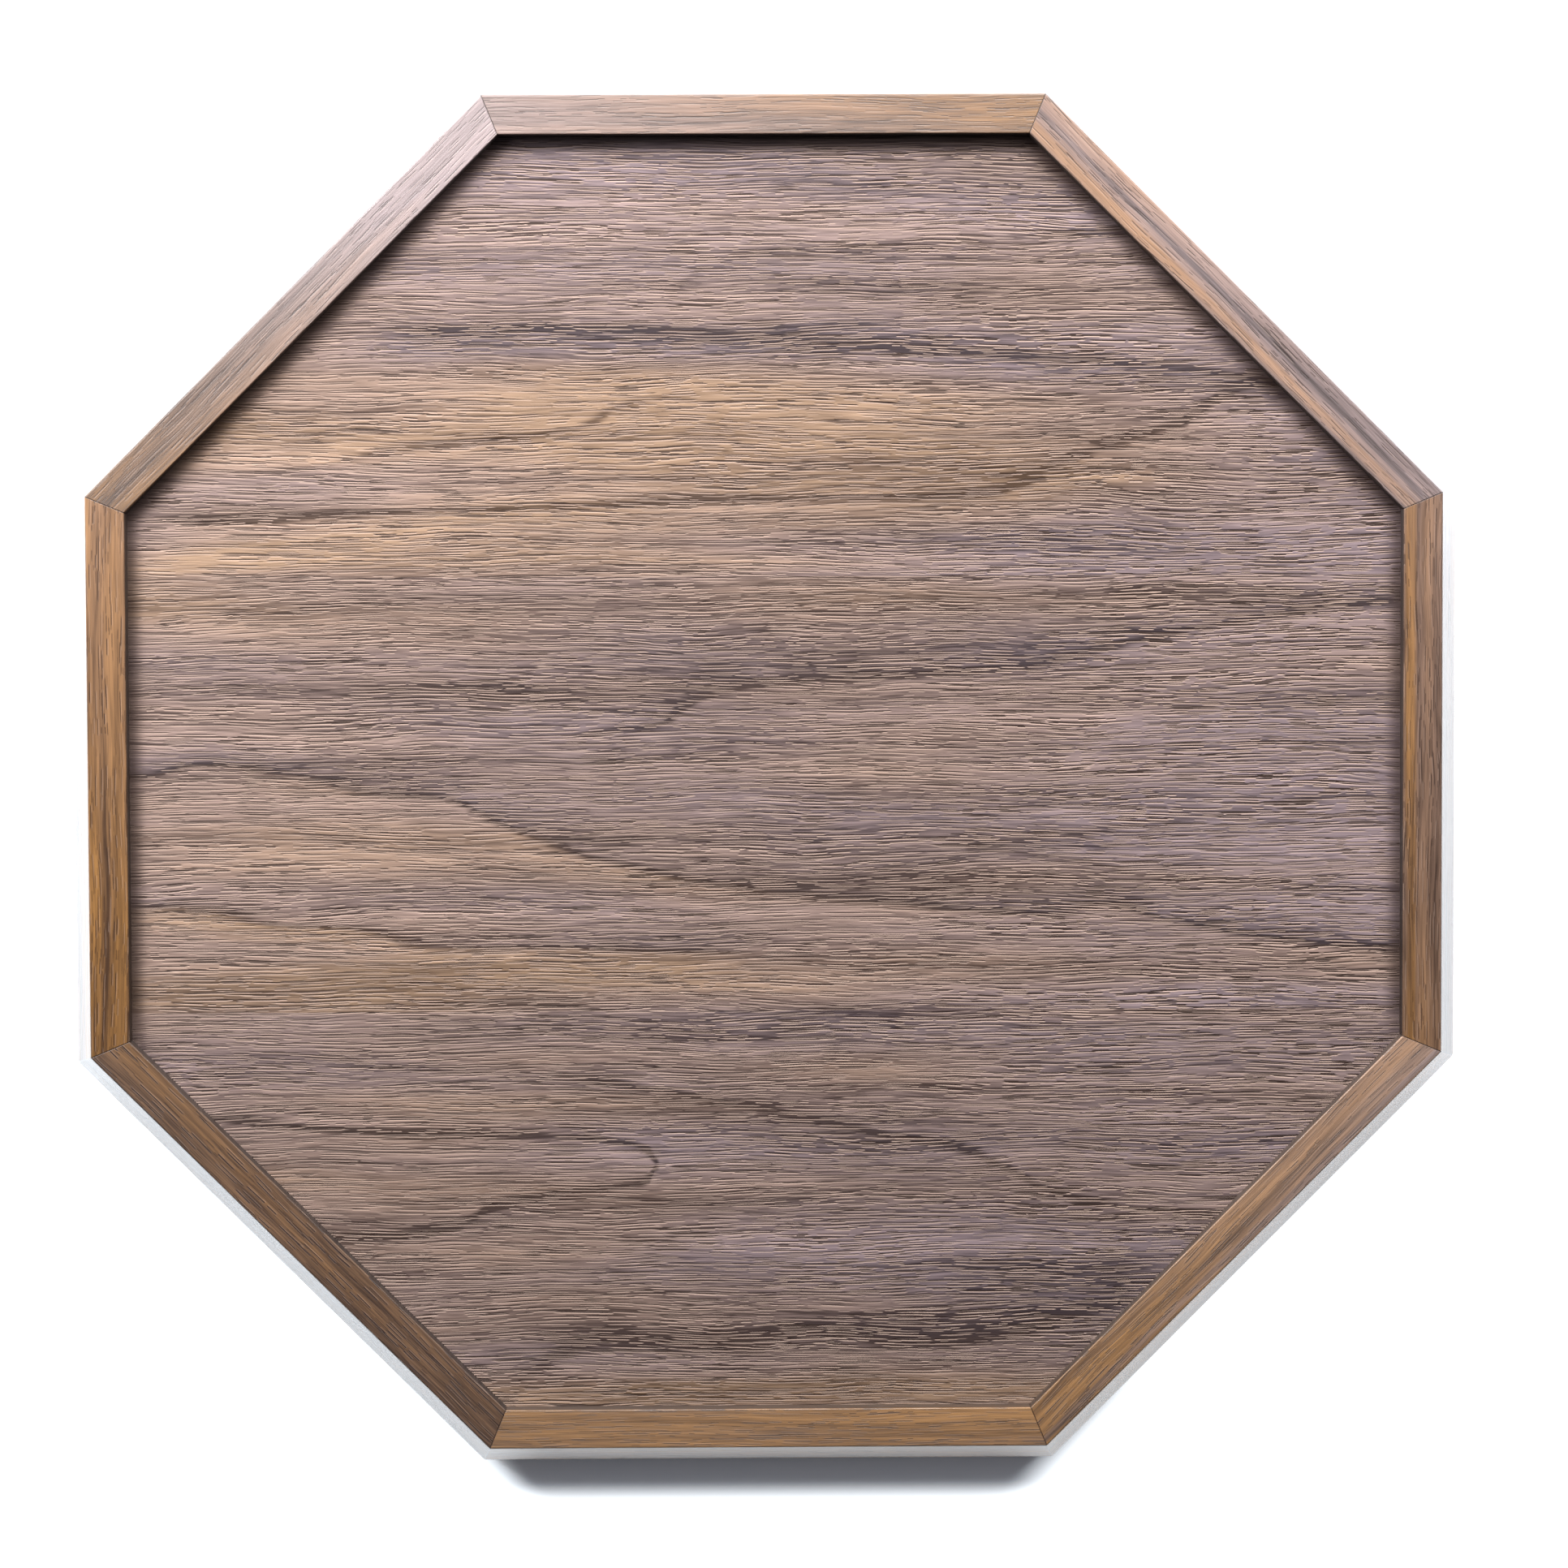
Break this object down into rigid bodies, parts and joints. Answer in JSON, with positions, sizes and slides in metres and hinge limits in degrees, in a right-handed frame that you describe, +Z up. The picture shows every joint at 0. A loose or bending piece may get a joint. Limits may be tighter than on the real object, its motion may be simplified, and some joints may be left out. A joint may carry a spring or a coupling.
{
  "type": "crokinole board",
  "caption": "Octagonal wooden crokinole board lying face down: veneered back inside a mitred hardwood frame, with the round playing surface, ditch, pegs and centre hole beneath.",
  "frame": {"origin": "centre of the octagon, on the plane of the ditch-wall rim that the board lies on when it is face down", "axes": "+Z up out of the back of the board, through its thickness; +Y towards rail_north and +X towards rail_east, each square to a flat of the octagon; the veneer grain runs along X"},
  "size_m": [0.766, 0.766, 0.048],
  "materials": {
    "rail_walnut": "satin oiled walnut",
    "back_walnut": "satin open-pore walnut veneer",
    "ditch_walnut": "satin walnut veneer",
    "plywood_core": "sanded birch plywood",
    "maple_veneer": "polished maple veneer",
    "spline_beech": "raw beech",
    "line_fill": "matt filled line",
    "peg_steel": "bright zinc",
    "peg_rubber": "matt"
  },
  "bodies": {
    "root": {"rail_east": "rail_walnut", "rail_north_east": "rail_walnut", "rail_north": "rail_walnut", "rail_north_west": "rail_walnut", "rail_west": "rail_walnut", "rail_south_west": "rail_walnut", "rail_south": "rail_walnut", "rail_south_east": "rail_walnut", "mitre_splines": "spline_beech", "base_core": "plywood_core", "ditch_veneer": "ditch_walnut", "back_veneer_upper": "back_walnut", "back_veneer_middle": "back_walnut", "back_veneer_lower": "back_walnut", "playing_surface_core": "plywood_core", "playing_surface_veneer": "maple_veneer", "inner_ring_line": "line_fill", "middle_ring_line": "line_fill", "outer_ring_line": "line_fill", "quadrant_lines": "line_fill", "peg_screws": "peg_steel", "peg_sleeves": "peg_rubber"}
  },
  "joints": []
}
